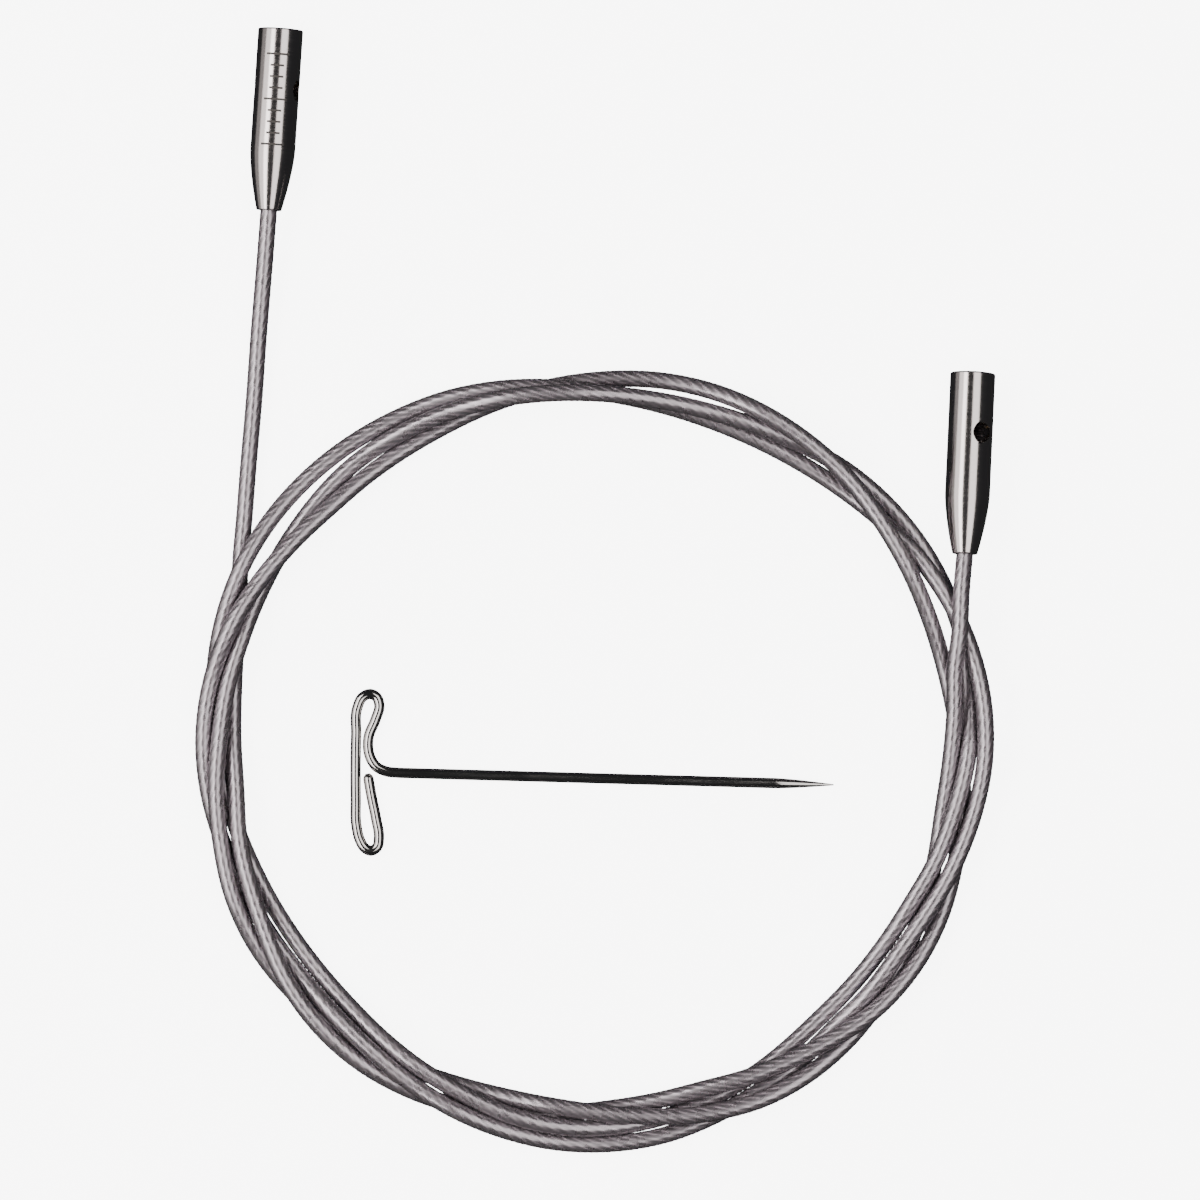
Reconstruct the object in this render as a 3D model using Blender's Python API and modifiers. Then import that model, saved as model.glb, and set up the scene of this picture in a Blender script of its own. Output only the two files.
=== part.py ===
"""Interchangeable cable for circular knitting needles, wound up, with its tightening key.

A nylon-jacketed wire rope carries a stainless connector at each end. A needle tip screws into
each connector's mouth, and the key goes through its cross hole to tighten the joint. Each
connector turns freely on a ferrule that is crimped to the rope's end.

Metres, +Z up, on the plane z = 0. The origin is under the middle of the two connectors and the key.
"""

import math

import bmesh
import bpy
from mathutils import Matrix, Vector

MM = 0.001

# Where the wound coil's centre lies on the plane.
COIL_CENTRE = Vector((-2.1 * MM, -25.55 * MM, 0))

# Cable: a rope in a jacket. The jacket stops inside each connector and the rope goes on.
CABLE_DIAMETER = 1.35 * MM
JACKET_BORE = 1.2 * MM
ROPE_DIAMETER = 1.14 * MM
TUBE_STEP = 4.4 * MM

# Connector barrel, measured from the nose, where the cable leaves, up to the open mouth.
BARREL_LENGTH = 14.5 * MM
BARREL_DIAMETER = 3.6 * MM
NOSE_DIAMETER = 2.0 * MM
TAPER_LENGTH = 4.8 * MM
TAPER_POWER = 1.5
TAPER_RINGS = 7
CABLE_PASSAGE_DIAMETER = 1.65 * MM
CHAMBER_FLOOR = 5.1 * MM
CHAMBER_DIAMETER = 2.24 * MM
THREAD_FLOOR = 7.5 * MM
THREAD_BORE_DIAMETER = 2.5 * MM
EDGE_BREAK = 0.15 * MM
KEY_HOLE_DIAMETER = 1.6 * MM
KEY_HOLE_HEIGHT = BARREL_LENGTH - 4.85 * MM

# Ferrule crimped to the rope, in the chamber, and the collar pressed in above it.
FERRULE_BOTTOM = 5.2 * MM
FERRULE_TOP = 7.3 * MM
FERRULE_DIAMETER = 2.0 * MM
FERRULE_BORE = 1.24 * MM
CRIMP_DEPTH = 0.08 * MM
COLLAR_BOTTOM = 7.6 * MM
COLLAR_TOP = 8.5 * MM
COLLAR_DIAMETER = 2.4 * MM
COLLAR_BORE = 1.2 * MM
JACKET_END = 5.0 * MM
ROPE_END = 7.1 * MM

ROUND_STEPS = 32

# Each connector: its nose from the coil's centre, its heading round +Z, how far its nose is
# lifted off the plane, in degrees, and how far its key hole is turned from straight up.
CONNECTORS = {
    "left": {"nose": (-26.17, 44.09), "heading": 86.2, "lift": 0.0, "hole_turn": 75.0},
    "right": {"nose": (29.33, 16.66), "heading": 87.2, "lift": 4.5, "hole_turn": 31.0},
}

# The cable's route from the left nose to the right nose: the angle round the coil's centre in
# degrees, the distance from it and the height of the cable's middle, both in millimetres. A turn
# that swings outwards rides over its neighbours, and one that swings inwards dips under them.
ROUTE = (
    # Left tail: from the left connector's nose to the coil.
    (123.5, 48, 1.62), (128.1, 43.73, 1.1), (133.5, 39.8, 0.78), (140.15, 36.32, 0.7),
    (145.6, 34.17, 0.7),
    # First turn, passing under the next one where the tail joins.
    (149.2, 33.08, 0.7), (155, 31.56, 0.7), (160, 30.6, 0.7), (168, 29.64, 0.7), (176, 29.11, 1.1),
    (184, 28.85, 1.75), (192, 29.14, 2.1), (205, 29.56, 2.1), (216, 30.3, 2.1), (224, 30.54, 2),
    (232, 30.5, 1.5), (240, 30.17, 0.8), (252, 29.3, 0.7), (264, 28.22, 0.7), (272, 27.68, 0.75),
    (280, 27.43, 1.2), (288, 27.39, 1.75), (296, 27.83, 2.1), (308, 28.72, 2.1), (318, 29.7, 2.1),
    (328, 30.14, 1.6), (336, 30.12, 0.95), (344, 29.8, 0.7), (356, 29.35, 0.7),
    # Second turn.
    (368, 28.88, 0.7), (376, 28.82, 1), (384, 28.97, 1.9), (392, 29.29, 2.75), (400, 29.72, 3),
    (408, 30.25, 2.85), (416, 30.62, 2.75), (424, 30.9, 2.65), (432, 31.05, 1.9), (440, 30.97, 1.2),
    (452, 30.5, 0.7), (464, 29.94, 0.7), (476, 29.45, 0.7), (488, 29.36, 1), (496, 29.46, 1.65),
    (504, 29.95, 2.1), (512, 30.56, 2.4), (520, 31.11, 2.9), (528, 31.44, 2.15), (536, 31.45, 1.85),
    (544, 31.14, 1.15), (552, 30.58, 0.7), (564, 29.78, 0.7), (576, 29.16, 1), (584, 29.01, 1.8),
    (592, 29.17, 2.1), (600, 29.55, 2.1), (608, 29.95, 2.45), (616, 30.27, 1.75), (624, 30.5, 1.2),
    (640, 30.3, 0.8), (652, 29.55, 0.7), (664, 28.86, 0.7), (672, 28.46, 0.75), (680, 28.48, 1.6),
    (688, 28.51, 2.05), (704, 29.68, 2.1), (712, 30.38, 2.05),
    # Third turn.
    (720, 30.93, 2.5), (728, 31.2, 2.85), (740, 31.13, 2.15), (752, 30.51, 1.95), (760, 29.88, 1.4),
    (768, 29.34, 0.9), (778, 28.9, 0.7), (792, 28.81, 0.7), (800, 29.04, 0.9), (808, 29.46, 1.7),
    (816, 30.1, 2.1), (824, 30.8, 1.85), (832, 31.42, 1.3), (840, 31.85, 0.8), (856, 32.42, 0.9),
    (864, 32.47, 1.5), (872, 32.29, 2.1), (880, 31.89, 1.5), (888, 31.3, 0.75), (904, 29.83, 0.7),
    (920, 28.45, 0.7), (936, 27.79, 0.7), (944, 27.71, 1), (952, 27.87, 1.6), (960, 28.15, 2.1),
    (968, 28.5, 2.1), (976, 28.94, 2.1), (984, 29.2, 1.8), (992, 29.17, 1.2), (1000, 28.88, 0.7),
    (1016, 27.95, 0.7), (1032, 27.1, 0.7), (1040, 27.1, 0.75), (1048, 27.21, 1.1),
    (1056, 27.5, 1.9), (1064, 28.17, 2.1), (1072, 28.79, 2.15),
    # Fourth turn.
    (1080, 29.53, 2.25), (1088, 30.2, 1.2), (1096, 30.76, 0.75), (1112, 31.2, 0.7),
    (1124, 31, 0.7), (1130, 30.72, 0.9), (1136, 30.3, 1.3), (1144, 29.78, 1.75), (1152, 29.45, 2),
    (1160, 29.33, 2.55), (1168, 29.4, 3.2), (1175, 29.6, 3.5), (1184, 29.97, 3.1),
    (1192, 30.32, 2.15), (1200, 30.59, 1.5), (1208, 30.75, 0.85), (1224, 30.36, 0.7),
    (1232, 30.15, 1), (1240, 30, 2), (1248, 30.07, 2.1), (1256, 30.13, 2.35), (1264, 30.42, 2.35),
    (1272, 30.66, 2.1), (1280, 30.94, 1.9), (1288, 30.92, 1.15), (1296, 30.53, 0.7),
    (1312, 29.21, 0.7), (1328, 27.95, 0.7), (1336, 27.62, 1.3), (1344, 27.63, 2),
    (1352, 28.02, 2.1), (1368, 29.38, 2.1), (1376, 29.92, 2), (1384, 30.13, 1.5),
    (1392, 29.98, 0.8), (1408, 29.03, 0.7), (1424, 28.16, 0.7), (1432, 27.93, 0.95),
    # Right tail, up over the other turns to the right connector's nose.
    (1440, 28.21, 1.75), (1448, 28.76, 2.4), (1455, 29.57, 3.05), (1460, 30.76, 3.5),
    (1465, 32.04, 3.45),
)
ROUTE_START = "left"
ROUTE_END = "right"

# Key: one piece of wire, bent flat. x runs along the shaft to the point and y along the handle,
# in millimetres: shaft, crook, top loop, spine, bottom loop and the wire's blunt end.
KEY_WIRE_DIAMETER = 0.85 * MM
KEY_TAPER_LENGTH = 4.7 * MM
KEY_POINT_DIAMETER = 0.12 * MM
KEY_TIP = (38.25, 0)
KEY_BENDS = (
    (3.5, 0), (2.4, 0.1), (1.62, 0.46), (1.1, 1.25), (0.92, 2.13), (0.96, 2.84), (1.46, 4.2),
    (1.74, 5.4), (1.5, 6.02), (1.0, 6.25), (0.38, 5.98), (-0.02, 5.1), (-0.05, 3), (-0.02, 0.1),
    (0.06, -2.2), (0.17, -4.3), (0.5, -5.5), (0.9, -6.1), (1.4, -6.3), (1.9, -5.95),
    (2.0, -5.3), (1.72, -3.67), (1.32, -1.95), (0.95, -0.12),
)
KEY_BEND_STEP = 0.8 * MM
KEY_CORNER = (-19.27, -0.74)
KEY_HEADING = -1.57


def clear_scene():
    for item in list(bpy.data.objects):
        bpy.data.objects.remove(item, do_unlink=True)


def add_collection(name):
    collection = bpy.data.collections.new(name)
    bpy.context.scene.collection.children.link(collection)
    return collection


def add_material(name, colour, roughness, metallic):
    material = bpy.data.materials.new(name)
    material.use_nodes = True
    shader = material.node_tree.nodes["Principled BSDF"]
    shader.inputs["Base Color"].default_value = (*colour, 1)
    shader.inputs["Roughness"].default_value = roughness
    shader.inputs["Metallic"].default_value = metallic
    material.diffuse_color = (*colour, 1)
    return material


def smooth_path(points, step):
    """Points about step apart on a smooth curve through points. Its heights level off at each
    high and low point, so that it never dips below the lowest of them."""
    gaps = [(b - a).length for a, b in zip(points, points[1:])]
    slopes = [(points[1] - points[0]) / gaps[0]]
    for i in range(1, len(points) - 1):
        before = (points[i] - points[i - 1]) / gaps[i - 1]
        after = (points[i + 1] - points[i]) / gaps[i]
        slope = (before * gaps[i] + after * gaps[i - 1]) / (gaps[i - 1] + gaps[i])
        if before.z * after.z <= 0:
            steepest = 0
        else:
            steepest = 2 * min(abs(before.z), abs(after.z))
        slope.z = max(-steepest, min(steepest, slope.z))
        slopes.append(slope)
    slopes.append((points[-1] - points[-2]) / gaps[-1])
    path = []
    for i, gap in enumerate(gaps):
        count = max(1, round(gap / step))
        for j in range(count):
            t = j / count
            path.append(
                points[i] * (2 * t**3 - 3 * t**2 + 1)
                + slopes[i] * gap * (t**3 - 2 * t**2 + t)
                + points[i + 1] * (3 * t**2 - 2 * t**3)
                + slopes[i + 1] * gap * (t**3 - t**2)
            )
    path.append(points[-1])
    return path


def tube(name, points, diameter, bevel_resolution, caps=True, radii=None):
    """A mesh tube along points. radii scale its radius point by point."""
    curve = bpy.data.curves.new(name + "_line", "CURVE")
    curve.dimensions = "3D"
    curve.twist_mode = "Z_UP"
    curve.bevel_depth = diameter / 2
    curve.bevel_resolution = bevel_resolution
    curve.use_fill_caps = caps
    spline = curve.splines.new("POLY")
    spline.points.add(len(points) - 1)
    for i, point in enumerate(points):
        spline.points[i].co = (*point, 1)
        spline.points[i].radius = radii[i] if radii else 1
    line = bpy.data.objects.new(name + "_line", curve)
    bpy.context.scene.collection.objects.link(line)
    bpy.context.view_layer.update()
    evaluated = line.evaluated_get(bpy.context.evaluated_depsgraph_get())
    mesh = bpy.data.meshes.new_from_object(evaluated)
    bpy.data.objects.remove(line, do_unlink=True)
    weld(mesh)
    return mesh


def weld(mesh):
    shape = bmesh.new()
    shape.from_mesh(mesh)
    bmesh.ops.remove_doubles(shape, verts=shape.verts, dist=MM / 1000)
    bmesh.ops.recalc_face_normals(shape, faces=shape.faces)
    shape.to_mesh(mesh)
    shape.free()


def add_object(name, mesh, material, collection, parent=None):
    thing = bpy.data.objects.new(name, mesh)
    collection.objects.link(thing)
    thing.parent = parent
    mesh.materials.clear()
    mesh.materials.append(material)
    return thing


def turned(name, profile, material, collection, parent):
    """A hollow turned piece round the local Z axis. profile is a closed outline of (radius,
    height) that runs down the outside and back up the inside."""
    mesh = bpy.data.meshes.new(name)
    corners = [(radius, 0, height) for radius, height in profile]
    edges = [(i, (i + 1) % len(corners)) for i in range(len(corners))]
    mesh.from_pydata(corners, edges, [])
    thing = add_object(name, mesh, material, collection, parent)
    screw = thing.modifiers.new("Turn", "SCREW")
    screw.axis = "Z"
    screw.steps = ROUND_STEPS
    screw.render_steps = ROUND_STEPS
    screw.use_merge_vertices = True
    screw.merge_threshold = MM / 1000
    screw.use_smooth_shade = True
    return thing


def connector_frame(setting):
    """The matrix that puts a connector in place: its nose at the origin and its mouth along +Z
    before it, and its local +X pointing up once it lies down."""
    heading = math.radians(setting["heading"])
    lift = math.radians(setting["lift"])
    radius = BARREL_DIAMETER / 2
    height = radius * math.cos(lift) + BARREL_LENGTH * math.sin(lift)
    along = Vector(
        (math.cos(heading) * math.cos(lift), math.sin(heading) * math.cos(lift), -math.sin(lift))
    )
    side = along.cross(Vector((0, 0, 1))).normalized()
    up = side.cross(along)
    turn = Matrix((up, side, along)).transposed().to_4x4()
    nose = Vector((setting["nose"][0] * MM, setting["nose"][1] * MM, height))
    return Matrix.Translation(COIL_CENTRE + nose) @ turn


def barrel_profile():
    radius = BARREL_DIAMETER / 2
    nose_radius = NOSE_DIAMETER / 2
    outside = [(radius - EDGE_BREAK, BARREL_LENGTH), (radius, BARREL_LENGTH - EDGE_BREAK)]
    for i in range(TAPER_RINGS + 1):
        share = i / TAPER_RINGS
        drop = (radius - nose_radius) * share**TAPER_POWER
        outside.append((radius - drop, TAPER_LENGTH * (1 - share)))
    thread_radius = THREAD_BORE_DIAMETER / 2
    inside = [
        (CABLE_PASSAGE_DIAMETER / 2, 0),
        (CABLE_PASSAGE_DIAMETER / 2, CHAMBER_FLOOR),
        (CHAMBER_DIAMETER / 2, CHAMBER_FLOOR),
        (CHAMBER_DIAMETER / 2, THREAD_FLOOR),
        (thread_radius, THREAD_FLOOR),
        (thread_radius, BARREL_LENGTH - EDGE_BREAK),
        (thread_radius + EDGE_BREAK, BARREL_LENGTH),
    ]
    return outside + inside


def ferrule_profile():
    """A sleeve with two rings pressed into its outside."""
    radius = FERRULE_DIAMETER / 2
    length = FERRULE_TOP - FERRULE_BOTTOM
    outside = [(radius - CRIMP_DEPTH, FERRULE_TOP), (radius, FERRULE_TOP - CRIMP_DEPTH)]
    for share in (0.7, 0.3):
        middle = FERRULE_BOTTOM + share * length
        outside += [
            (radius, middle + 2 * CRIMP_DEPTH),
            (radius - CRIMP_DEPTH, middle),
            (radius, middle - 2 * CRIMP_DEPTH),
        ]
    outside += [(radius, FERRULE_BOTTOM)]
    return outside + [(FERRULE_BORE / 2, FERRULE_BOTTOM), (FERRULE_BORE / 2, FERRULE_TOP)]


def collar_profile():
    radius = COLLAR_DIAMETER / 2
    lead = EDGE_BREAK / 2
    return [
        (radius - lead, COLLAR_TOP),
        (radius, COLLAR_TOP - lead),
        (radius, COLLAR_BOTTOM + lead),
        (radius - lead, COLLAR_BOTTOM),
        (COLLAR_BORE / 2, COLLAR_BOTTOM),
        (COLLAR_BORE / 2, COLLAR_TOP),
    ]


def cut_key_hole(barrel, hole_turn, cutters):
    bpy.ops.mesh.primitive_cylinder_add(
        vertices=24, radius=KEY_HOLE_DIAMETER / 2, depth=2 * BARREL_DIAMETER
    )
    cutter = bpy.context.object
    cutter.name = barrel.name + "_key_hole"
    for collection in list(cutter.users_collection):
        collection.objects.unlink(cutter)
    cutters.objects.link(cutter)
    cutter.parent = barrel.parent
    lay_down = Matrix.Rotation(math.radians(90), 4, "Y")
    turn = Matrix.Rotation(math.radians(hole_turn), 4, "Z")
    cutter.matrix_local = Matrix.Translation((0, 0, KEY_HOLE_HEIGHT)) @ turn @ lay_down
    cutter.hide_render = True
    cutter.display_type = "WIRE"
    cut = barrel.modifiers.new("Key hole", "BOOLEAN")
    cut.operation = "DIFFERENCE"
    cut.solver = "EXACT"
    cut.object = cutter


def build_connector(side, collection, cutters, steel, ferrule_metal, collar_metal):
    setting = CONNECTORS[side]
    frame = bpy.data.objects.new(side + "_connector", None)
    frame.empty_display_size = BARREL_DIAMETER
    collection.objects.link(frame)
    frame.matrix_world = connector_frame(setting)
    barrel = turned(side + "_barrel", barrel_profile(), steel, collection, frame)
    cut_key_hole(barrel, setting["hole_turn"], cutters)
    turned(side + "_ferrule", ferrule_profile(), ferrule_metal, collection, frame)
    turned(side + "_collar", collar_profile(), collar_metal, collection, frame)


def inside_connector(side, depths):
    frame = connector_frame(CONNECTORS[side])
    return [frame @ Vector((0, 0, depth)) for depth in depths]


def route_points():
    points = []
    for angle, distance, height in ROUTE:
        turn = math.radians(angle)
        across = Vector((math.cos(turn), math.sin(turn), 0)) * distance * MM
        points.append(COIL_CENTRE + across + Vector((0, 0, height * MM)))
    return points


def cable_line(end_depth):
    """The cable's middle line, from end_depth inside one nose to end_depth inside the other."""
    straight = [end_depth, 0]
    start = inside_connector(ROUTE_START, straight)
    finish = inside_connector(ROUTE_END, reversed(straight))
    free = smooth_path([start[1], *route_points(), finish[0]], TUBE_STEP)
    return [start[0], *free, finish[1]]


def build_cable(collection, nylon, rope_steel):
    jacket_line = cable_line(JACKET_END)
    jacket_mesh = tube("cable_jacket", jacket_line, CABLE_DIAMETER, 2, caps=False)
    jacket = add_object("cable_jacket", jacket_mesh, nylon, collection)
    wall = jacket.modifiers.new("Wall", "SOLIDIFY")
    wall.thickness = (CABLE_DIAMETER - JACKET_BORE) / 2
    wall.offset = -1
    wall.use_rim = True
    rope_mesh = tube("cable_rope", cable_line(ROPE_END), ROPE_DIAMETER, 2)
    add_object("cable_rope", rope_mesh, rope_steel, collection)
    for mesh in (jacket_mesh, rope_mesh):
        mesh.shade_smooth()


def build_key(collection, nickel):
    bends = [Vector((x * MM, y * MM, 0)) for x, y in KEY_BENDS]
    line = smooth_path(bends, KEY_BEND_STEP)
    line.reverse()
    radii = [1.0] * len(line)
    tip = Vector((KEY_TIP[0] * MM, KEY_TIP[1] * MM, 0))
    point_radius = KEY_POINT_DIAMETER / KEY_WIRE_DIAMETER
    for share in (0, 0.25, 0.5, 0.75, 1):
        line.append(tip - Vector((KEY_TAPER_LENGTH * (1 - share), 0, 0)))
        radii.append(1 - (1 - point_radius) * share**1.4)
    mesh = tube("key", line, KEY_WIRE_DIAMETER, 3, radii=radii)
    mesh.shade_smooth()
    key = add_object("key", mesh, nickel, collection)
    corner = Vector((KEY_CORNER[0] * MM, KEY_CORNER[1] * MM, KEY_WIRE_DIAMETER / 2))
    key.location = COIL_CENTRE + corner
    key.rotation_euler.z = math.radians(KEY_HEADING)


def main():
    clear_scene()
    collection = add_collection("circular_needle_cable")
    cutters = add_collection("cutters")
    nylon = add_material("nylon_jacket", (0.52, 0.5, 0.53), 0.3, 0)
    rope_steel = add_material("rope_steel", (0.6, 0.58, 0.6), 0.35, 1)
    nickel = add_material("key_nickel", (0.72, 0.7, 0.68), 0.12, 1)
    build_cable(collection, nylon, rope_steel)
    for side in CONNECTORS:
        steel = add_material(side + "_barrel_steel", (0.56, 0.53, 0.53), 0.25, 1)
        ferrule_metal = add_material(side + "_ferrule_steel", (0.6, 0.58, 0.56), 0.3, 1)
        collar_metal = add_material(side + "_collar_brass", (0.7, 0.56, 0.32), 0.3, 1)
        build_connector(side, collection, cutters, steel, ferrule_metal, collar_metal)
    build_key(collection, nickel)


main()
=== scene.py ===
"""The looks of a wound cable for circular knitting needles, with its connectors and key.

Metres, +Z up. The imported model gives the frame. Every shown piece here stands for a CAD node, or
is a detail on one, and rides on that node's body.
"""

import math

import bmesh
import bpy
from mathutils import Matrix, Vector


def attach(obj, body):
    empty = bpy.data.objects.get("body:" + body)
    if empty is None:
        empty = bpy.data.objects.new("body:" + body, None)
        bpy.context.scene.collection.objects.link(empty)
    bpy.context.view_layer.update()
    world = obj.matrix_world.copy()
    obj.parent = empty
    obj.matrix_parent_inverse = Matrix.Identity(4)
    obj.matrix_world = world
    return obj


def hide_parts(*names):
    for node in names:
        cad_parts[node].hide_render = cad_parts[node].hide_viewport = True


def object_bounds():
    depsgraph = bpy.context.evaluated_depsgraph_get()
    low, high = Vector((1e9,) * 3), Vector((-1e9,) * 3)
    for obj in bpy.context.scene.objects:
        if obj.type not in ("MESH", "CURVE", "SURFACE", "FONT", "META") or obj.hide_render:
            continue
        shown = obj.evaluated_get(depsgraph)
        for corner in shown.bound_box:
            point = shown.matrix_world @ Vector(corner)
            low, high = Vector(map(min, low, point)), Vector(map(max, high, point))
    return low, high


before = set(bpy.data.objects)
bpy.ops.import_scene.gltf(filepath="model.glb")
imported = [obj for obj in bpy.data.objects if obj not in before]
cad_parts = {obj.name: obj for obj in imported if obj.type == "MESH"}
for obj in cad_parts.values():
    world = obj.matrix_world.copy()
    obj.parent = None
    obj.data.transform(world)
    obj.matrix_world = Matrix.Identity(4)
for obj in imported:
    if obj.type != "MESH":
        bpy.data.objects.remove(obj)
cad_box = [list(corner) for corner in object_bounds()]

MM = 0.001

# The coil's centre on the plane, and the cable's sizes. The ends are depths inside the connectors.
COIL_CENTRE = Vector((-2.1 * MM, -25.55 * MM, 0))
CABLE_STEP = 0.45 * MM
CABLE_DIAMETER = 1.35 * MM
JACKET_END = 5.0 * MM
JACKET_SIDES = 30
JACKET_DIAMETER = CABLE_DIAMETER + 0.04 * MM
JACKET_RIB = 0.011 * MM

# The rope: six strands laid right-handed round a straight one. The fill is the share of its sector
# that a strand takes up, and the rounding is 1 for an oval and less for a squarer outline.
ROPE_DIAMETER = 1.14 * MM
ROPE_END = 7.1 * MM
STRAND_COUNT = 6
STRAND_DIAMETER = ROPE_DIAMETER / 3
STRAND_LAY = 6.0 * MM
STRAND_SIDES = 10
STRAND_FILL = 0.985
STRAND_ROUNDING = 0.7
KING_SIDES = 8

# Connector barrel, measured from the nose up to the mouth.
BARREL_LENGTH = 14.5 * MM
BARREL_RADIUS = 1.8 * MM
NOSE_RADIUS = 1.0 * MM
TAPER_LENGTH = 4.8 * MM
TAPER_POWER = 1.5
TAPER_RINGS = 20
CABLE_PASSAGE_RADIUS = 0.825 * MM
CHAMBER_FLOOR = 5.1 * MM
CHAMBER_RADIUS = 1.12 * MM
THREAD_FLOOR = 7.5 * MM
THREAD_BORE_RADIUS = 1.25 * MM
EDGE_BREAK = 0.15 * MM
NOSE_EDGE_BREAK = 0.08 * MM
PASSAGE_START = 0.05 * MM
KEY_HOLE_RADIUS = 0.8 * MM
KEY_HOLE_HEIGHT = BARREL_LENGTH - 4.85 * MM
KEY_HOLE_FLARE = 0.12 * MM
KEY_HOLE_FLARE_DEPTH = 0.02 * MM
KEY_HOLE_SIDES = 48
BARREL_SIDES = 96

# The thread inside each mouth, where the needle tip screws in.
THREAD_PITCH = 0.45 * MM
THREAD_DEPTH = 0.18 * MM
THREAD_START = BARREL_LENGTH - 0.45 * MM
THREAD_TURNS = 13
THREAD_SIDES = 36
THREAD_ROOT_DEPTH = 0.01 * MM
THREAD_ROOT_HALF = 0.42 * THREAD_PITCH
THREAD_CREST_HALF = 0.06 * THREAD_PITCH

# Ferrule on the rope's end, and the collar above it.
FERRULE_BOTTOM = 5.2 * MM
FERRULE_TOP = 7.3 * MM
FERRULE_RADIUS = 1.0 * MM
FERRULE_BORE_RADIUS = 0.62 * MM
CRIMP_DEPTH = 0.08 * MM
CRIMP_SHARES = (0.7, 0.3)
FERRULE_SIDES = 48
COLLAR_BOTTOM = 7.6 * MM
COLLAR_TOP = 8.5 * MM
COLLAR_RADIUS = 1.2 * MM
COLLAR_BORE_RADIUS = 0.6 * MM
COLLAR_SIDES = 64

# Etched scale lines on the left barrel.
MARK_COUNT = 9
MARK_FIRST = BARREL_LENGTH - 2.1 * MM
MARK_PITCH = 0.9 * MM
MARK_THICKNESS = 0.16 * MM
MARK_LENGTH = 1.1 * MM
LONG_MARK_LENGTH = 1.9 * MM
LONG_MARK_EVERY = 4
MARK_PROUD = 0.004 * MM
MARK_COLUMNS = 8

CONNECTORS = {
    "left": {"nose": (-26.17, 44.09), "heading": 86.2, "lift": 0.0, "hole_turn": 75.0},
    "right": {"nose": (29.33, 16.66), "heading": 87.2, "lift": 4.5, "hole_turn": 31.0},
}

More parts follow.
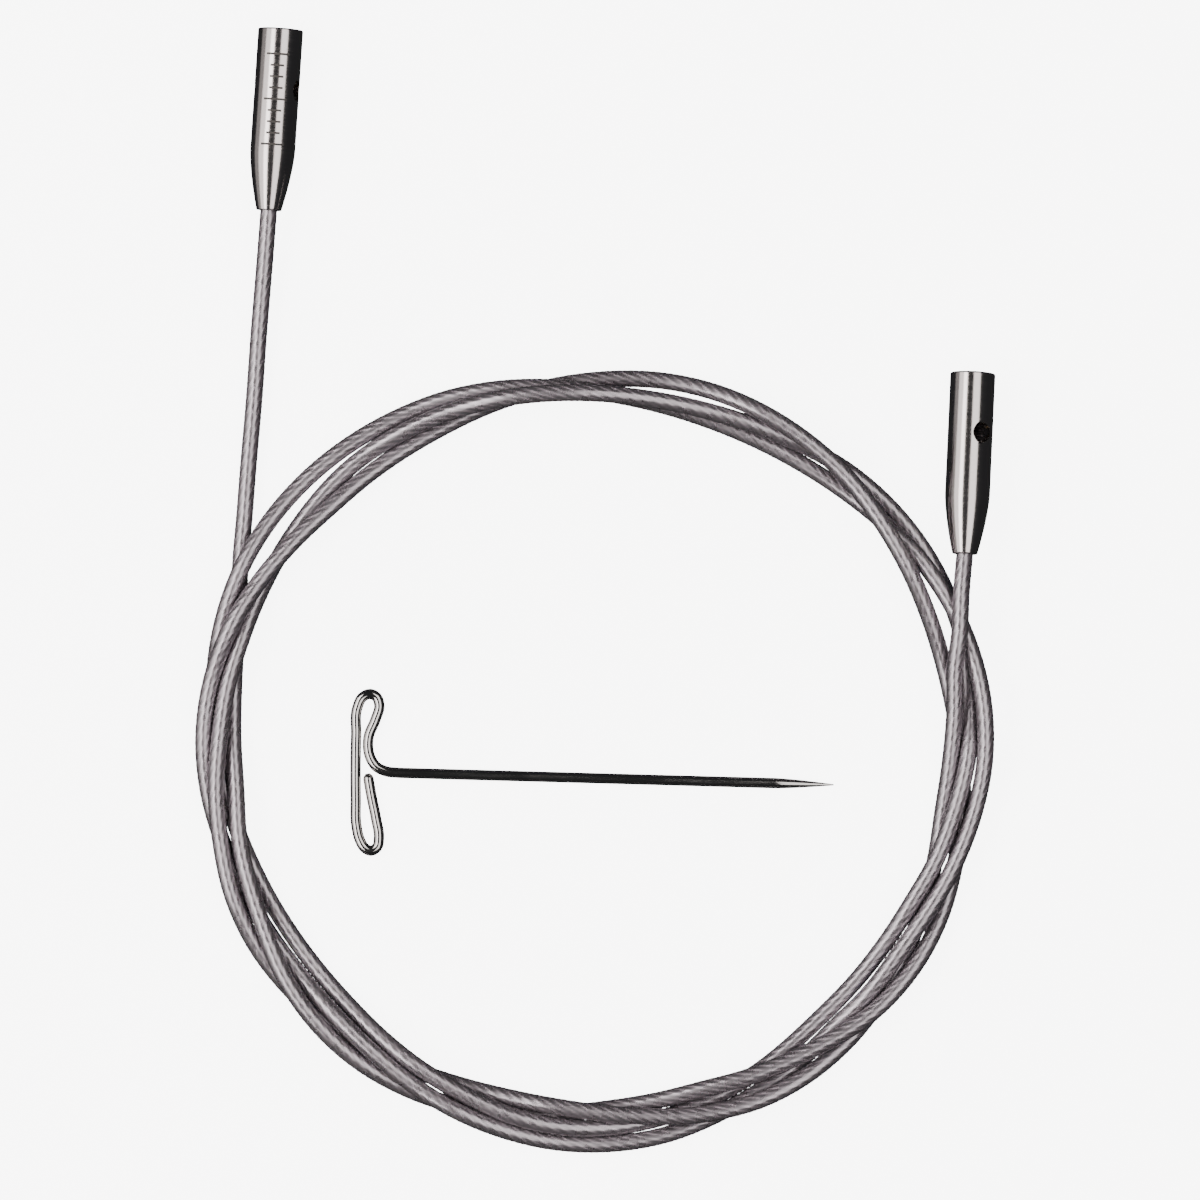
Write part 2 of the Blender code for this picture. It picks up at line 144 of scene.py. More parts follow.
# The cable's route from the left nose to the right nose: the angle round the coil's centre in
# degrees, the distance from it and the height of the cable's middle, both in millimetres.
ROUTE = (
    # Left tail: from the left connector's nose to the coil.
    (123.5, 48, 1.62), (128.1, 43.73, 1.1), (133.5, 39.8, 0.78), (140.15, 36.32, 0.7),
    (145.6, 34.17, 0.7),
    # First turn, passing under the next one where the tail joins.
    (149.2, 33.08, 0.7), (155, 31.56, 0.7), (160, 30.6, 0.7), (168, 29.64, 0.7), (176, 29.11, 1.1),
    (184, 28.85, 1.75), (192, 29.14, 2.1), (205, 29.56, 2.1), (216, 30.3, 2.1), (224, 30.54, 2),
    (232, 30.5, 1.5), (240, 30.17, 0.8), (252, 29.3, 0.7), (264, 28.22, 0.7), (272, 27.68, 0.75),
    (280, 27.43, 1.2), (288, 27.39, 1.75), (296, 27.83, 2.1), (308, 28.72, 2.1), (318, 29.7, 2.1),
    (328, 30.14, 1.6), (336, 30.12, 0.95), (344, 29.8, 0.7), (356, 29.35, 0.7),
    # Second turn.
    (368, 28.88, 0.7), (376, 28.82, 1), (384, 28.97, 1.9), (392, 29.29, 2.75), (400, 29.72, 3),
    (408, 30.25, 2.85), (416, 30.62, 2.75), (424, 30.9, 2.65), (432, 31.05, 1.9), (440, 30.97, 1.2),
    (452, 30.5, 0.7), (464, 29.94, 0.7), (476, 29.45, 0.7), (488, 29.36, 1), (496, 29.46, 1.65),
    (504, 29.95, 2.1), (512, 30.56, 2.4), (520, 31.11, 2.9), (528, 31.44, 2.15), (536, 31.45, 1.85),
    (544, 31.14, 1.15), (552, 30.58, 0.7), (564, 29.72, 0.7), (576, 29.14, 1), (584, 29.01, 1.8),
    (592, 29.17, 2.1), (600, 29.55, 2.1), (608, 29.92, 2.45), (616, 30.27, 1.75), (624, 30.5, 1.2),
    (640, 30.29, 0.8), (652, 29.55, 0.7), (664, 28.88, 0.7), (672, 28.46, 0.75), (680, 28.48, 1.6),
    (688, 28.51, 2.05), (704, 29.68, 2.1), (712, 30.36, 2.05),
    # Third turn.
    (720, 30.93, 2.5), (728, 31.2, 2.85), (740, 31.13, 2.15), (752, 30.51, 1.95), (760, 29.88, 1.4),
    (768, 29.34, 0.9), (778, 28.9, 0.7), (792, 28.81, 0.7), (800, 29.04, 0.9), (808, 29.46, 1.7),
    (816, 30.1, 2.1), (824, 30.8, 1.85), (832, 31.42, 1.3), (840, 31.85, 0.8), (856, 32.42, 0.9),
    (864, 32.47, 1.5), (872, 32.29, 2.1), (880, 31.89, 1.5), (888, 31.3, 0.75), (904, 29.83, 0.7),
    (920, 28.52, 0.7), (936, 27.8, 0.7), (944, 27.71, 1), (952, 27.87, 1.6), (960, 28.15, 2.1),
    (968, 28.5, 2.1), (976, 28.94, 2.1), (984, 29.2, 1.8), (992, 29.17, 1.2), (1000, 28.89, 0.7),
    (1016, 27.95, 0.7), (1032, 27.1, 0.7), (1040, 27.1, 0.75), (1048, 27.21, 1.1),
    (1056, 27.5, 1.9), (1064, 28.17, 2.1), (1072, 28.79, 2.15),
    # Fourth turn.
    (1080, 29.55, 2.25), (1088, 30.2, 1.2), (1096, 30.76, 0.75), (1112, 31.2, 0.7),
    (1124, 31, 0.7), (1130, 30.72, 0.9), (1136, 30.3, 1.3), (1144, 29.78, 1.75), (1152, 29.45, 2),
    (1160, 29.33, 2.55), (1168, 29.4, 3.2), (1175, 29.6, 3.5), (1184, 29.97, 3.1),
    (1192, 30.32, 2.15), (1200, 30.59, 1.5), (1208, 30.75, 0.85), (1224, 30.36, 0.7),
    (1232, 30.15, 1), (1240, 30, 2), (1248, 30.07, 2.1), (1256, 30.13, 2.35), (1264, 30.42, 2.35),
    (1272, 30.66, 2.1), (1280, 30.94, 1.9), (1288, 30.92, 1.15), (1296, 30.53, 0.7),
    (1312, 29.21, 0.7), (1328, 27.95, 0.7), (1336, 27.62, 1.3), (1344, 27.63, 2),
    (1352, 28.02, 2.1), (1368, 29.38, 2.1), (1376, 29.92, 2), (1384, 30.09, 1.5),
    (1392, 29.96, 0.8), (1408, 29.03, 0.7), (1424, 28.16, 0.7), (1432, 27.93, 0.95),
    # Right tail, up over the other turns to the right connector's nose.
    (1440, 28.21, 1.75), (1448, 28.82, 2.4), (1455, 29.57, 3.05), (1460, 30.76, 3.5),
    (1465, 32.04, 3.45),
)

# Key: one bent wire. x runs along the shaft to the point and y along the handle, in millimetres.
KEY_WIRE_RADIUS = 0.425 * MM
KEY_TAPER_LENGTH = 4.7 * MM
KEY_TAPER_POWER = 1.4
KEY_POINT_RADIUS = 0.05 * MM
KEY_BLUNT_SHARE = 0.4
KEY_TIP = (38.25, 0)
KEY_BENDS = (
    (3.5, 0), (2.4, 0.1), (1.62, 0.46), (1.1, 1.25), (0.92, 2.13), (0.96, 2.84), (1.46, 4.2),
    (1.74, 5.4), (1.5, 6.02), (1.0, 6.25), (0.38, 5.98), (-0.02, 5.1), (-0.05, 3), (-0.02, 0.1),
    (0.06, -2.2), (0.17, -4.3), (0.5, -5.5), (0.9, -6.1), (1.4, -6.3), (1.9, -5.95),
    (2.0, -5.3), (1.72, -3.67), (1.32, -1.95), (0.95, -0.12),
)
KEY_STEP = 0.2 * MM
KEY_SIDES = 28
KEY_CORNER = (-19.27, -0.74)
KEY_HEADING = -1.57

# Camera straight above, and the room round the object.
VIEW_MARGIN = 1.0695
VIEW_SHIFT = (0.38 * MM, -0.76 * MM)
CAMERA_HEIGHT = 0.6
CAMERA_SENSOR = 36 * MM
CAMERA_CLIP = 10 * MM
FLOOR_SIZE = 6.0
FLOOR_DROP = 0.02 * MM
DOME_RADIUS = 2.8
BACKDROP_GLOW = 7.0
WORLD_GLOW = 0.035
SOFTBOX_DISTANCE = 0.5
SOFTBOX_LENGTH = 0.6
SOFTBOX_COLOUR = (1, 0.965, 0.95)
# Name, lean from overhead towards +X and half width in degrees, and radiance.
SOFTBOXES = (
    ("upper_left_box", -36, 10, 6.5),
    ("left_box", -60, 14, 2.2),
    ("low_left_box", -88, 13, 0.4),
    ("right_box", 25, 17, 2.9),
)


# ---------------------------------------------------------------- camera and room


def add_camera():
    low, high = (Vector(corner) for corner in cad_box)
    middle = (low + high) / 2
    view_width = max(high - low) * VIEW_MARGIN
    data = bpy.data.cameras.new("camera")
    data.sensor_width = CAMERA_SENSOR / MM
    data.lens = CAMERA_SENSOR / MM * CAMERA_HEIGHT / view_width
    data.clip_start = CAMERA_CLIP
    camera = bpy.data.objects.new("camera", data)
    camera.location = (middle.x + VIEW_SHIFT[0], middle.y + VIEW_SHIFT[1], CAMERA_HEIGHT)
    bpy.context.scene.collection.objects.link(camera)
    bpy.context.scene.camera = camera
    return middle


def add_softbox(name, middle, lean, spread, glow):
    """A long softbox at the side, tilted by lean from overhead, that fills spread of the sky to
    each side of its middle and glows with the radiance glow."""
    data = bpy.data.lights.new(name, "AREA")
    data.shape = "RECTANGLE"
    data.size = SOFTBOX_LENGTH
    data.size_y = 2 * SOFTBOX_DISTANCE * math.tan(spread)
    data.energy = glow * math.pi * data.size * data.size_y
    data.color = SOFTBOX_COLOUR
    light = bpy.data.objects.new(name, data)
    place = Vector((math.sin(lean), 0, math.cos(lean))) * SOFTBOX_DISTANCE
    light.location = middle + place
    light.rotation_euler = (-place).to_track_quat("-Z", "Y").to_euler()
    light.visible_camera = False
    bpy.context.scene.collection.objects.link(light)


def glowing(name, base, roughness, specular, colour):
    """A matt material that glows evenly."""
    material, _, shader = new_material(name)
    shader.inputs["Base Color"].default_value = (*base, 1)
    shader.inputs["Roughness"].default_value = roughness
    shader.inputs["Specular IOR Level"].default_value = specular
    shader.inputs["Emission Color"].default_value = (*colour, 1)
    shader.inputs["Emission Strength"].default_value = BACKDROP_GLOW
    return material


def add_backdrop(name, shape, place, material, hidden_from):
    """Part of the room, seen by the camera but not by the kinds of ray in hidden_from."""
    mesh = bpy.data.meshes.new(name)
    shape.to_mesh(mesh)
    shape.free()
    mesh.materials.append(material)
    part = bpy.data.objects.new(name, mesh)
    part.location = place
    for kind in hidden_from:
        setattr(part, "visible_" + kind, False)
    bpy.context.scene.collection.objects.link(part)
    return part


def add_room(middle):
    shape = bmesh.new()
    bmesh.ops.create_grid(shape, x_segments=2, y_segments=2, size=FLOOR_SIZE / 2)
    paper = glowing("paper", (0.9, 0.9, 0.9), 0.9, 0.1, (1, 1, 1))
    place = (middle.x, middle.y, -FLOOR_DROP)
    floor = add_backdrop("floor", shape, place, paper, ("diffuse", "glossy", "transmission"))

    shape = bmesh.new()
    bmesh.ops.create_uvsphere(shape, u_segments=48, v_segments=24, radius=DOME_RADIUS)
    glow = glowing("dome_glow", (0, 0, 0), 0.5, 0, (0.93, 0.93, 0.935))
    place = (middle.x, middle.y, 0)
    hidden_from = ("diffuse", "glossy", "transmission", "shadow")
    dome = add_backdrop("dome", shape, place, glow, hidden_from)

    world = bpy.data.worlds.new("world")
    world.use_nodes = True
    background = world.node_tree.nodes["Background"]
    background.inputs["Color"].default_value = (0.9, 0.93, 1, 1)
    background.inputs["Strength"].default_value = WORLD_GLOW
    bpy.context.scene.world = world

    for name, lean, spread, glow in SOFTBOXES:
        add_softbox(name, middle, math.radians(lean), math.radians(spread), glow)


# ---------------------------------------------------------------- materials


def new_material(name):
    material = bpy.data.materials.new(name)
    material.use_nodes = True
    nodes = material.node_tree
    return material, nodes, nodes.nodes["Principled BSDF"]


def add_node(nodes, kind, **settings):
    node = nodes.nodes.new(kind)
    for key, value in settings.items():
        setattr(node, key, value)
    return node


def noise(nodes, scale, detail, shorten=(1, 1, 1), place=None):
    """A noise texture over the object's own coordinates, along the axes of place. scale counts
    features a metre, and shorten squeezes them along each axis."""
    source = add_node(nodes, "ShaderNodeTexCoord")
    mapping = add_node(nodes, "ShaderNodeMapping", vector_type="TEXTURE")
    mapping.inputs["Scale"].default_value = [1 / squeeze for squeeze in shorten]
    if place:
        mapping.inputs["Location"].default_value = place.translation
        mapping.inputs["Rotation"].default_value = place.to_euler()
    texture = add_node(nodes, "ShaderNodeTexNoise")
    texture.inputs["Scale"].default_value = scale
    texture.inputs["Detail"].default_value = detail
    nodes.links.new(source.outputs["Object"], mapping.inputs["Vector"])
    nodes.links.new(mapping.outputs["Vector"], texture.inputs["Vector"])
    return texture.outputs["Fac"]


def ramp(nodes, value, low, high):
    """Maps value from its middle range to between low and high."""
    spread = add_node(nodes, "ShaderNodeMapRange")
    spread.inputs["From Min"].default_value = 0.3
    spread.inputs["From Max"].default_value = 0.7
    spread.inputs["To Min"].default_value = low
    spread.inputs["To Max"].default_value = high
    nodes.links.new(value, spread.inputs["Value"])
    return spread.outputs["Result"]


def colour_between(nodes, value, dark, light):
    mix = add_node(nodes, "ShaderNodeMix", data_type="RGBA")
    mix.inputs["A"].default_value = (*dark, 1)
    mix.inputs["B"].default_value = (*light, 1)
    nodes.links.new(value, mix.inputs["Factor"])
    return mix.outputs["Result"]


def add_bump(nodes, shader, value, strength, distance):
    bump = add_node(nodes, "ShaderNodeBump")
    bump.inputs["Strength"].default_value = strength
    bump.inputs["Distance"].default_value = distance
    nodes.links.new(value, bump.inputs["Height"])
    nodes.links.new(bump.outputs["Normal"], shader.inputs["Normal"])


def metal(name, dark, light, roughness, grain, shorten, relief, place=None):
    """A metal whose colour, roughness and relief follow a grain."""
    material, nodes, shader = new_material(name)
    shader.inputs["Metallic"].default_value = 1
    fine = noise(nodes, grain, 6, shorten, place)
    broad = noise(nodes, grain / 4, 3)
    nodes.links.new(colour_between(nodes, broad, dark, light), shader.inputs["Base Color"])
    nodes.links.new(ramp(nodes, fine, *roughness), shader.inputs["Roughness"])
    add_bump(nodes, shader, fine, 0.35, relief)
    return material


def barrel_steel(name, place):
    """Satin stainless with the fine rings that turning leaves round it."""
    rings = (0.5, 0.5, 30)
    dark, light = (0.5, 0.46, 0.455), (0.6, 0.555, 0.54)
    return metal(name, dark, light, (0.13, 0.2), 400, rings, 0.0012 * MM, place)


def clear_nylon():
    """The jacket: clear nylon, a little milky, that magnifies the rope inside it."""
    material, nodes, shader = new_material("clear_nylon")
    shader.inputs["IOR"].default_value = 1.55
    shader.inputs["Transmission Weight"].default_value = 0.9
    shader.inputs["Metallic"].default_value = 0.3
    cloud = noise(nodes, 900, 4)
    tint = colour_between(nodes, cloud, (0.66, 0.61, 0.645), (0.78, 0.725, 0.76))
    nodes.links.new(tint, shader.inputs["Base Color"])
    nodes.links.new(ramp(nodes, cloud, 0.24, 0.32), shader.inputs["Roughness"])
    add_bump(nodes, shader, cloud, 0.15, 0.01 * MM)
    return material


def etched_black():
    material, nodes, shader = new_material("etched_black")
    burn = noise(nodes, 9000, 4)
    tint = colour_between(nodes, burn, (0.03, 0.027, 0.027), (0.12, 0.108, 0.1))
    nodes.links.new(tint, shader.inputs["Base Color"])
    nodes.links.new(ramp(nodes, burn, 0.5, 0.75), shader.inputs["Roughness"])
    shader.inputs["Metallic"].default_value = 0.4
    return material


# ---------------------------------------------------------------- meshes


def add_piece(name, mesh, material, body, place=None):
    """A piece whose place, where one is given, goes into its mesh."""
    if place:
        mesh.transform(place)
    piece = bpy.data.objects.new(name, mesh)
    bpy.context.scene.collection.objects.link(piece)
    mesh.materials.append(material)
    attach(piece, body)
    return piece


def smooth_path(points, step):
    """Points about step apart on a smooth curve through points. Its heights level off at each
    high and low point, so that it never dips below the lowest of them."""
    gaps = [(b - a).length for a, b in zip(points, points[1:])]
    slopes = [(points[1] - points[0]) / gaps[0]]
    for i in range(1, len(points) - 1):
        before = (points[i] - points[i - 1]) / gaps[i - 1]
        after = (points[i + 1] - points[i]) / gaps[i]
        slope = (before * gaps[i] + after * gaps[i - 1]) / (gaps[i - 1] + gaps[i])
        if before.z * after.z <= 0:
            steepest = 0
        else:
            steepest = 2 * min(abs(before.z), abs(after.z))
        slope.z = max(-steepest, min(steepest, slope.z))
        slopes.append(slope)
    slopes.append((points[-1] - points[-2]) / gaps[-1])
    path = []
    for i, gap in enumerate(gaps):
        count = max(1, round(gap / step))
        for j in range(count):
            t = j / count
            path.append(
                points[i] * (2 * t**3 - 3 * t**2 + 1)
                + slopes[i] * gap * (t**3 - 2 * t**2 + t)
                + points[i + 1] * (3 * t**2 - 2 * t**3)
                + slopes[i + 1] * gap * (t**3 - t**2)
            )
    path.append(points[-1])
    return path


def evenly(points, step):
    """Points step apart along a line of points."""
    lengths = [0.0]
    for a, b in zip(points, points[1:]):
        lengths.append(lengths[-1] + (b - a).length)
    count = max(2, round(lengths[-1] / step))
    spaced = []
    at = 0
    for i in range(count + 1):
        want = lengths[-1] * i / count
        while at < len(points) - 2 and lengths[at + 1] < want:
            at += 1
        share = (want - lengths[at]) / max(lengths[at + 1] - lengths[at], 1e-12)
        spaced.append(points[at].lerp(points[at + 1], share))
    return spaced


def circle(radius, height, sides):
    turns = [2 * math.pi * k / sides for k in range(sides)]
    return [(radius * math.cos(turn), radius * math.sin(turn), height) for turn in turns]


def side_and_up(points):
    """Two directions across the line at each of its points: level sideways, and upwards."""
    frames = []
    for i, point in enumerate(points):
        ahead = points[min(i + 1, len(points) - 1)] - points[max(i - 1, 0)]
        ahead.normalize()
        side = ahead.cross(Vector((0, 0, 1))).normalized()
        frames.append((side, side.cross(ahead)))
    return frames


def sweep(name, points, radii, sides):
    """A closed round tube along points, with a radius at each."""
    rings = []
    for point, radius, (side, up) in zip(points, radii, side_and_up(points)):
        turns = [2 * math.pi * k / sides for k in range(sides)]
        rings.append([point + (side * math.cos(t) + up * math.sin(t)) * radius for t in turns])
    return loft(name, rings)


def loft(name, *skins, smooth=True):
    """One mesh of closed skins, each through outlines that have the same number of points."""
    shape = bmesh.new()
    for outlines in skins:
        rings = [[shape.verts.new(point) for point in outline] for outline in outlines]
        for a, b in zip(rings, rings[1:]):
            for k in range(len(a)):
                m = (k + 1) % len(a)
                shape.faces.new((a[k], a[m], b[m], b[k]))
        shape.faces.new(rings[0][::-1])
        shape.faces.new(rings[-1])
    return finished(name, shape, smooth)


def finished(name, shape, smooth=True):
    bmesh.ops.recalc_face_normals(shape, faces=shape.faces)
    mesh = bpy.data.meshes.new(name)
    shape.to_mesh(mesh)
    shape.free()
    if smooth:
        mesh.shade_smooth()
    return mesh


def lathe(name, profile, sides):
    """A hollow turned mesh round Z, from a closed outline of (radius, height)."""
    shape = bmesh.new()
    rings = []
    for k in range(sides):
        turn = 2 * math.pi * k / sides
        ring = [shape.verts.new((r * math.cos(turn), r * math.sin(turn), z)) for r, z in profile]
        rings.append(ring)
    count = len(profile)
    for k in range(sides):
        a, b = rings[k], rings[(k + 1) % sides]
        for i in range(count):
            m = (i + 1) % count
            shape.faces.new((a[i], b[i], b[m], a[m]))
    mesh = finished(name, shape)
    mesh.set_sharp_from_angle(angle=math.radians(35))
    return mesh


def rounded(corner_a, corner, corner_b, size, steps=4):
    """The outline points that round off corner between its two neighbours."""
    a, c, b = Vector(corner_a), Vector(corner), Vector(corner_b)
    start = c + (a - c).normalized() * size
    end = c + (b - c).normalized() * size
    arc = []
    for i in range(steps + 1):
        t = i / steps
        point = start * (1 - t) ** 2 + c * 2 * t * (1 - t) + end * t**2
        arc.append(tuple(point))
    return arc


# ---------------------------------------------------------------- cable


def connector_frame(setting):
    """The matrix that puts a connector in place: its nose at the origin and its mouth along +Z
    before it, and its local +X pointing up once it lies down."""
    heading = math.radians(setting["heading"])
    lift = math.radians(setting["lift"])
    height = BARREL_RADIUS * math.cos(lift) + BARREL_LENGTH * math.sin(lift)
    along = Vector(
        (math.cos(heading) * math.cos(lift), math.sin(heading) * math.cos(lift), -math.sin(lift))
    )
    side = along.cross(Vector((0, 0, 1))).normalized()
    up = side.cross(along)
    turn = Matrix((up, side, along)).transposed().to_4x4()
    nose = Vector((setting["nose"][0] * MM, setting["nose"][1] * MM, height))
    return Matrix.Translation(COIL_CENTRE + nose) @ turn


def route_points():
    points = []
    for angle, distance, height in ROUTE:
        turn = math.radians(angle)
        across = Vector((math.cos(turn), math.sin(turn), 0)) * distance * MM
        points.append(COIL_CENTRE + across + Vector((0, 0, height * MM)))
    return points


def cable_line(end_depth, step):
    """The cable's middle line, from end_depth inside one nose to end_depth inside the other."""
    left = connector_frame(CONNECTORS["left"])
    right = connector_frame(CONNECTORS["right"])
    inner = Vector((0, 0, end_depth))
    free = smooth_path([left.translation, *route_points(), right.translation], step)
    return evenly([left @ inner, *free, right @ inner], step)


def strand_outline():
    """One outer strand seen end on: how far out and how far round each point lies."""
    near, far = STRAND_DIAMETER / 2, ROPE_DIAMETER / 2
    outline = []
    for k in range(STRAND_SIDES):
        turn = math.pi / 2 + 2 * math.pi * k / STRAND_SIDES
        across, out = math.cos(turn), math.sin(turn)
        across = math.copysign(abs(across) ** STRAND_ROUNDING, across)
        out = math.copysign(abs(out) ** STRAND_ROUNDING, out)
        reach = (near + far + out * (far - near)) / 2
        outline.append((reach, across * STRAND_FILL * math.pi / STRAND_COUNT))
    return outline


def jacket_outline():
    """The jacket seen end on, faintly ribbed where it lies over the strands."""
    outline = []
    for k in range(JACKET_SIDES):
        lean = 2 * math.pi * k / JACKET_SIDES
        dip = JACKET_RIB * (1 - math.cos(STRAND_COUNT * lean)) / 2
        outline.append((JACKET_DIAMETER / 2 - dip, lean))
    return outline


def twisted(line, outline, start):
    """Copies of an outline along a line, turning steadily with the lay of the rope."""
    middle = sum((b - a).length for a, b in zip(line, line[1:])) / 2
    walked = -middle
    rings = []
    for i, (point, (side, up)) in enumerate(zip(line, side_and_up(line))):
        walked += (point - line[i - 1]).length if i else 0
        turn = 2 * math.pi * (start - walked / STRAND_LAY)
        rings.append([
            point + (side * math.cos(turn - lean) + up * math.sin(turn - lean)) * reach
            for reach, lean in outline
        ])
    return rings


def build_cable():
    jacket_line = cable_line(JACKET_END, CABLE_STEP)
    jacket_mesh = loft("jacket", twisted(jacket_line, jacket_outline(), 0))
    jacket = add_piece("jacket", jacket_mesh, clear_nylon(), "cable")
    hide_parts("cable_jacket")

    middle = cable_line(ROPE_END, CABLE_STEP)
    radii = [STRAND_DIAMETER / 2] * len(middle)
    dark, light = (0.46, 0.425, 0.45), (0.64, 0.595, 0.625)
    wire = metal("strand_steel", dark, light, (0.3, 0.4), 2500, (1, 1, 1), 0.002 * MM)
    king_mesh = sweep("strand_king", middle, radii, KING_SIDES)
    strands = [add_piece("strand_king", king_mesh, wire, "cable")]
    for number in range(STRAND_COUNT):
        name = f"strand_{number + 1}"
        mesh = loft(name, twisted(middle, strand_outline(), number / STRAND_COUNT))
        strands.append(add_piece(name, mesh, wire, "cable"))
    for strand in strands:
        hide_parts("cable_rope")


# ---------------------------------------------------------------- connectors


def barrel_profile():
    """Down the outside from the mouth to the nose, then back up the bore, with eased edges."""
    mouth_outer = (BARREL_RADIUS, BARREL_LENGTH)
    thread_mouth = THREAD_BORE_RADIUS + EDGE_BREAK
    outside = rounded(
        (thread_mouth, BARREL_LENGTH), mouth_outer, (BARREL_RADIUS, TAPER_LENGTH), EDGE_BREAK
    )
    for i in range(TAPER_RINGS):
        share = i / TAPER_RINGS
        drop = (BARREL_RADIUS - NOSE_RADIUS) * share**TAPER_POWER
        outside.append((BARREL_RADIUS - drop, TAPER_LENGTH * (1 - share)))
    nose = rounded(outside[-1], (NOSE_RADIUS, 0), (CABLE_PASSAGE_RADIUS, 0), NOSE_EDGE_BREAK)
    inside = [
        (CABLE_PASSAGE_RADIUS, PASSAGE_START),
        (CABLE_PASSAGE_RADIUS, CHAMBER_FLOOR),
        (CHAMBER_RADIUS, CHAMBER_FLOOR),
        (CHAMBER_RADIUS, THREAD_FLOOR),
        (THREAD_BORE_RADIUS, THREAD_FLOOR),
        (THREAD_BORE_RADIUS, BARREL_LENGTH - EDGE_BREAK),
        (thread_mouth, BARREL_LENGTH),
    ]
    return outside + nose + inside


def ferrule_profile():
    length = FERRULE_TOP - FERRULE_BOTTOM
    outside = [
        (FERRULE_RADIUS - CRIMP_DEPTH, FERRULE_TOP),
        (FERRULE_RADIUS, FERRULE_TOP - CRIMP_DEPTH),
    ]
    for share in CRIMP_SHARES:
        middle = FERRULE_BOTTOM + share * length
        outside += rounded(
            (FERRULE_RADIUS, middle + 2 * CRIMP_DEPTH),
            (FERRULE_RADIUS - 2 * CRIMP_DEPTH, middle),
            (FERRULE_RADIUS, middle - 2 * CRIMP_DEPTH),
            2.5 * CRIMP_DEPTH,
        )
    outside += [(FERRULE_RADIUS, FERRULE_BOTTOM)]
    bore = [(FERRULE_BORE_RADIUS, FERRULE_BOTTOM), (FERRULE_BORE_RADIUS, FERRULE_TOP)]
    return outside + bore


def collar_profile():
    lead = EDGE_BREAK / 2
    top_inner = (COLLAR_BORE_RADIUS, COLLAR_TOP)
    low_inner = (COLLAR_BORE_RADIUS, COLLAR_BOTTOM)
    top = (COLLAR_RADIUS, COLLAR_TOP)
    low = (COLLAR_RADIUS, COLLAR_BOTTOM)
    return [
        *rounded(top_inner, top, low, lead),
        *rounded(top, low, low_inner, lead),
        *rounded(low, low_inner, top_inner, lead),
        *rounded(low_inner, top_inner, top, lead),
    ]


def thread_mesh(name):
    """The thread's ridge, a helix of blunt triangular section standing on the bore's wall."""
    root = THREAD_BORE_RADIUS + THREAD_ROOT_DEPTH
    crest = THREAD_BORE_RADIUS - THREAD_DEPTH
    section = (
        (root, THREAD_ROOT_HALF),
        (crest, THREAD_CREST_HALF),
        (crest, -THREAD_CREST_HALF),
        (root, -THREAD_ROOT_HALF),
    )
    rows = []
    for i in range(THREAD_TURNS * THREAD_SIDES + 1):
        turn = 2 * math.pi * i / THREAD_SIDES
        height = THREAD_START - THREAD_PITCH * i / THREAD_SIDES
        rows.append([
            (radius * math.cos(turn), radius * math.sin(turn), height + rise)
            for radius, rise in section
        ])
    return loft(name, rows, smooth=False)


def key_hole_cutter(side, setting, place):
    """A drill through the whole barrel that widens a little where it breaks the surface."""
    surface = BARREL_RADIUS - KEY_HOLE_FLARE_DEPTH
    reach = BARREL_RADIUS + 1 * MM
    wide = KEY_HOLE_RADIUS + 2 * KEY_HOLE_FLARE
    half = [
        (KEY_HOLE_RADIUS, surface - KEY_HOLE_FLARE),
        (wide, surface + KEY_HOLE_FLARE),
        (wide, reach),
    ]
    outline = [(radius, -height) for radius, height in half[::-1]] + half
    mesh = loft(side + "_drill", [circle(r, height, KEY_HOLE_SIDES) for r, height in outline])
    drill = bpy.data.objects.new(side + "_drill", mesh)
    bpy.context.scene.collection.objects.link(drill)
    lay_down = Matrix.Rotation(math.radians(90), 4, "Y")
    turn = Matrix.Rotation(math.radians(setting["hole_turn"]), 4, "Z")
    drill.matrix_world = place @ Matrix.Translation((0, 0, KEY_HOLE_HEIGHT)) @ turn @ lay_down
    return drill


def cut(piece, drill):
    boolean = piece.modifiers.new("drill", "BOOLEAN")
    boolean.operation = "DIFFERENCE"
    boolean.solver = "EXACT"
    boolean.object = drill
    bpy.context.view_layer.update()
    evaluated = piece.evaluated_get(bpy.context.evaluated_depsgraph_get())
    cut_mesh = bpy.data.meshes.new_from_object(evaluated)
    piece.modifiers.clear()
    piece.data = cut_mesh
    cut_mesh.shade_smooth()
    cut_mesh.set_sharp_from_angle(angle=math.radians(30))


def mark_mesh(name):
    """The etched lines, thin plates that follow the barrel's round."""
    half_height = MARK_THICKNESS / 2
    low, high = BARREL_RADIUS - MARK_PROUD, BARREL_RADIUS + MARK_PROUD
    section = ((low, -half_height), (high, -half_height), (high, half_height), (low, half_height))
    marks = []
    for number in range(MARK_COUNT):
        length = MARK_LENGTH if number % LONG_MARK_EVERY else LONG_MARK_LENGTH
        half_turn = length / 2 / BARREL_RADIUS
        height = MARK_FIRST - number * MARK_PITCH
        rows = []
        for k in range(MARK_COLUMNS + 1):
            turn = -half_turn + 2 * half_turn * k / MARK_COLUMNS
            rows.append([
                (radius * math.cos(turn), radius * math.sin(turn), height + rise)
                for radius, rise in section
            ])
        marks.append(rows)
    return loft(name, *marks, smooth=False)


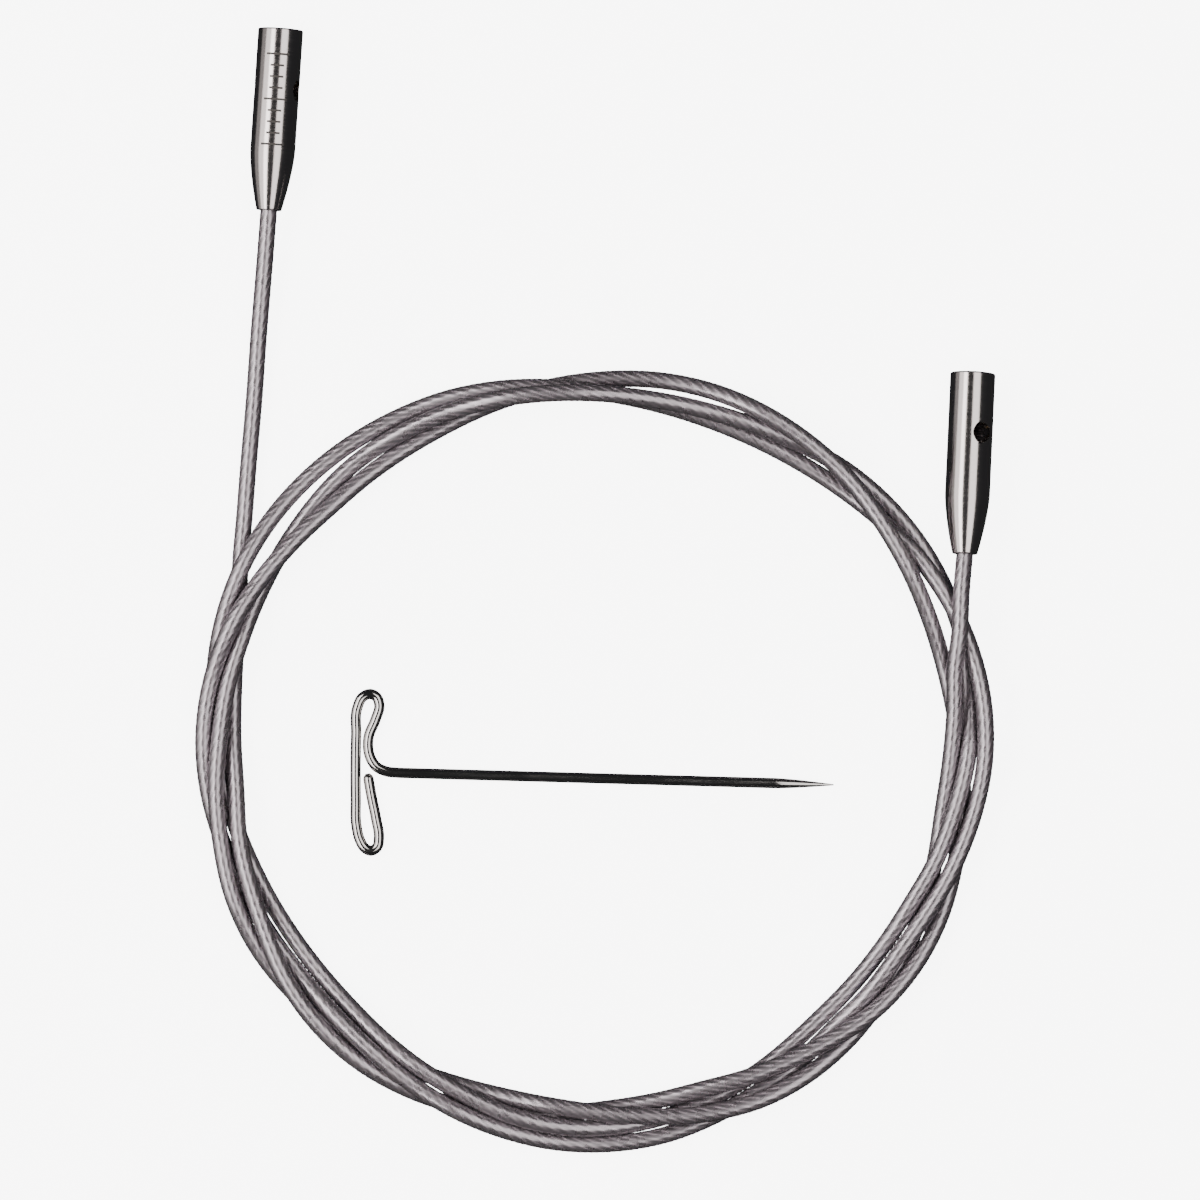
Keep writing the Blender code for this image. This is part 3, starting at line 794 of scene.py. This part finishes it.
def build_connector(side, thread_steel, crimp_steel, brass):
    setting = CONNECTORS[side]
    place = connector_frame(setting)
    body = side + "_connector"
    barrel_shape = lathe(side + "_barrel_shell", barrel_profile(), BARREL_SIDES)
    steel = barrel_steel(side + "_turned_stainless", place)
    barrel = add_piece(side + "_barrel_shell", barrel_shape, steel, body, place)
    thread_shape = thread_mesh(side + "_thread")
    thread = add_piece(side + "_thread", thread_shape, thread_steel, body, place)
    ferrule_shape = lathe(side + "_ferrule_sleeve", ferrule_profile(), FERRULE_SIDES)
    sleeve = side + "_ferrule_sleeve"
    ferrule = add_piece(sleeve, ferrule_shape, crimp_steel, "cable", place)
    collar_shape = lathe(side + "_collar_ring", collar_profile(), COLLAR_SIDES)
    collar = add_piece(side + "_collar_ring", collar_shape, brass, body, place)
    drill = key_hole_cutter(side, setting, place)
    cut(barrel, drill)
    cut(thread, drill)
    bpy.data.objects.remove(drill, do_unlink=True)
    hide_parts(side + "_barrel")
    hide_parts(side + "_barrel")
    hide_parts(side + "_ferrule")
    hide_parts(side + "_collar")


def build_marks():
    place = connector_frame(CONNECTORS["left"])
    mesh = mark_mesh("left_scale")
    add_piece("left_scale", mesh, etched_black(), "left_connector", place)


# ---------------------------------------------------------------- key


def build_key():
    bends = [Vector((x * MM, y * MM, 0)) for x, y in KEY_BENDS]
    tip = Vector((KEY_TIP[0] * MM, KEY_TIP[1] * MM, 0))
    blunt_end = bends[-1]
    line = evenly([tip, *smooth_path(bends, KEY_STEP / 2)], KEY_STEP)
    radii = []
    for point in line:
        from_tip = (point - tip).length
        from_end = (point - blunt_end).length
        radius = KEY_WIRE_RADIUS
        if from_tip < KEY_TAPER_LENGTH:
            share = 1 - from_tip / KEY_TAPER_LENGTH
            radius -= (KEY_WIRE_RADIUS - KEY_POINT_RADIUS) * share**KEY_TAPER_POWER
        if point is line[-1] or point is line[-2]:
            share = math.sqrt(1 - (1 - from_end / KEY_WIRE_RADIUS) ** 2)
            radius *= max(KEY_BLUNT_SHARE, share)
        radii.append(radius)
    mesh = sweep("key_wire", line, radii, KEY_SIDES)
    dark, light = (0.44, 0.425, 0.41), (0.56, 0.545, 0.53)
    nickel = metal("key_nickel", dark, light, (0.06, 0.16), 1500, (0.15, 1, 1), 0.002 * MM)
    corner = Vector((KEY_CORNER[0] * MM, KEY_CORNER[1] * MM, KEY_WIRE_RADIUS))
    turn = Matrix.Rotation(math.radians(KEY_HEADING), 4, "Z")
    place = Matrix.Translation(COIL_CENTRE + corner) @ turn
    key = add_piece("key_wire", mesh, nickel, "key", place)
    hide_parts("key")


# ---------------------------------------------------------------- scene

add_room(add_camera())
build_cable()
thread_steel = metal(
    "thread_steel", (0.34, 0.32, 0.32), (0.46, 0.43, 0.42), (0.25, 0.4), 900, (1, 1, 20), 0.003 * MM
)
crimp_steel = metal(
    "crimp_steel", (0.42, 0.4, 0.39), (0.56, 0.53, 0.51), (0.28, 0.45), 2500, (1, 1, 1), 0.01 * MM
)
collar_brass = metal(
    "collar_brass", (0.56, 0.41, 0.2), (0.72, 0.56, 0.3), (0.2, 0.34), 900, (1, 1, 20), 0.003 * MM
)
for side in CONNECTORS:
    build_connector(side, thread_steel, crimp_steel, collar_brass)
build_marks()
build_key()
